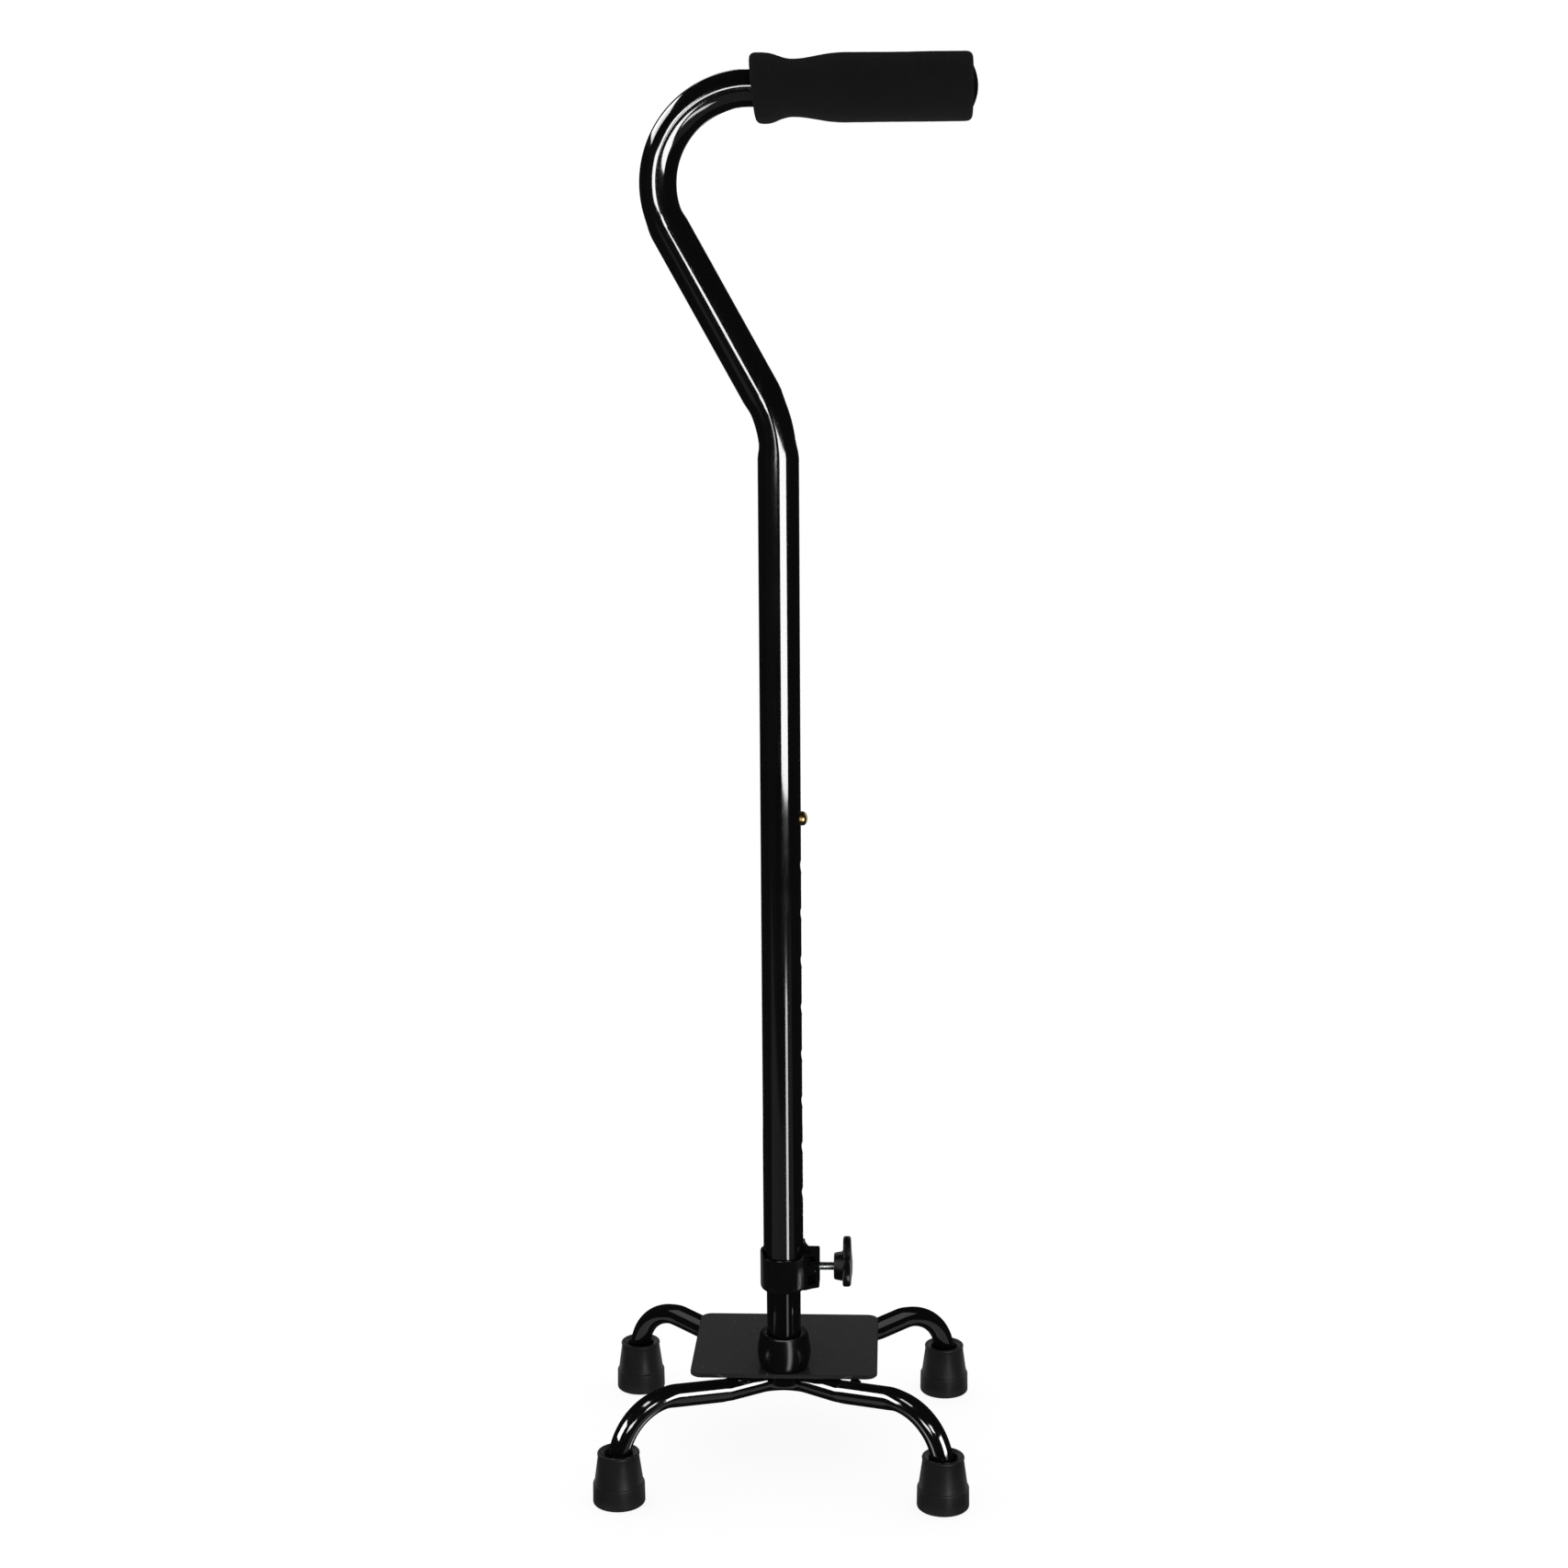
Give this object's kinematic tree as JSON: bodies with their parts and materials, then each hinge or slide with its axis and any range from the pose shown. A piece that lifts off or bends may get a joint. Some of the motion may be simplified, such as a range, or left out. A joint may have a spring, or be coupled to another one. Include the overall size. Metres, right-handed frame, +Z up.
{
  "type": "quad walking cane",
  "caption": "Walking cane with a bent gooseneck handle, horizontal foam grip, telescoping height tubes with snap button and thumb screw collar, and a low four-footed base.",
  "frame": {"origin": "on the floor, midway between the left and right feet and between the front and rear feet", "axes": "+Z up, parallel to the shaft; +X the way the grip points from the shaft; -Y the front, the short side of the base where the shaft stands; +Y the rear, where the base reaches out"},
  "size_m": [0.212, 0.1826, 0.77],
  "materials": {
    "gloss_black_tube": "gloss",
    "plate_grey": "semi-gloss",
    "foam": "matte foam",
    "rubber": "satin",
    "black_plastic": "satin",
    "white_plastic": "satin",
    "zinc": "bright zinc plated",
    "spring_steel": "rolled",
    "brass": "polished"
  },
  "bodies": {
    "base": {"base_plate": "plate_grey", "hub_socket": "gloss_black_tube", "hub_foot": "gloss_black_tube", "front_leg_tube": "gloss_black_tube", "rear_leg_tube": "gloss_black_tube", "weld_bead_left": "gloss_black_tube", "weld_bead_right": "gloss_black_tube", "rubber_tip_front_left": "rubber", "rubber_tip_front_right": "rubber", "rubber_tip_rear_left": "rubber", "rubber_tip_rear_right": "rubber", "tip_disc_front_left": "zinc", "tip_disc_front_right": "zinc", "tip_disc_rear_left": "zinc", "tip_disc_rear_right": "zinc", "lower_tube": "gloss_black_tube", "tube_guide": "white_plastic", "button_spring": "spring_steel"},
    "button": {"snap_button": "brass"},
    "upper": {"upper_tube": "gloss_black_tube", "foam_grip": "foam", "grip_end_plug": "black_plastic", "locking_collar": "black_plastic", "captive_nut": "zinc"},
    "screw_tip": {"screw_tip_pad": "brass"},
    "thumb_screw": {"thumb_screw_stud": "zinc", "thumb_knob": "black_plastic"}
  },
  "joints": [
    {"name": "height_adjust", "type": "slide", "parent": "base", "child": "upper", "axis": [0, 0, 1], "range_m": [0, 0.2116], "deforming": ["snap_button"]},
    {"name": "button_press", "type": "slide", "parent": "base", "child": "button", "axis": [-1, 0, 0], "range_m": [0, 0.005], "stiffness_N_per_m": 1500, "springref_m": -0.002, "deforming": ["button_spring"]},
    {"name": "screw_advance", "type": "slide", "parent": "upper", "child": "screw_tip", "axis": [1, 0, 0], "range_m": [0, 0.0024]},
    {"name": "screw_turn", "type": "hinge", "parent": "screw_tip", "child": "thumb_screw", "pos_m": [0.02, -0.0245, 0.1164], "axis": [1, 0, 0], "range_deg": [0, 1080]}
  ],
  "couplings": [
    {"joint": "screw_turn", "follows": "screw_advance", "rad_per_m": 7854}
  ]
}
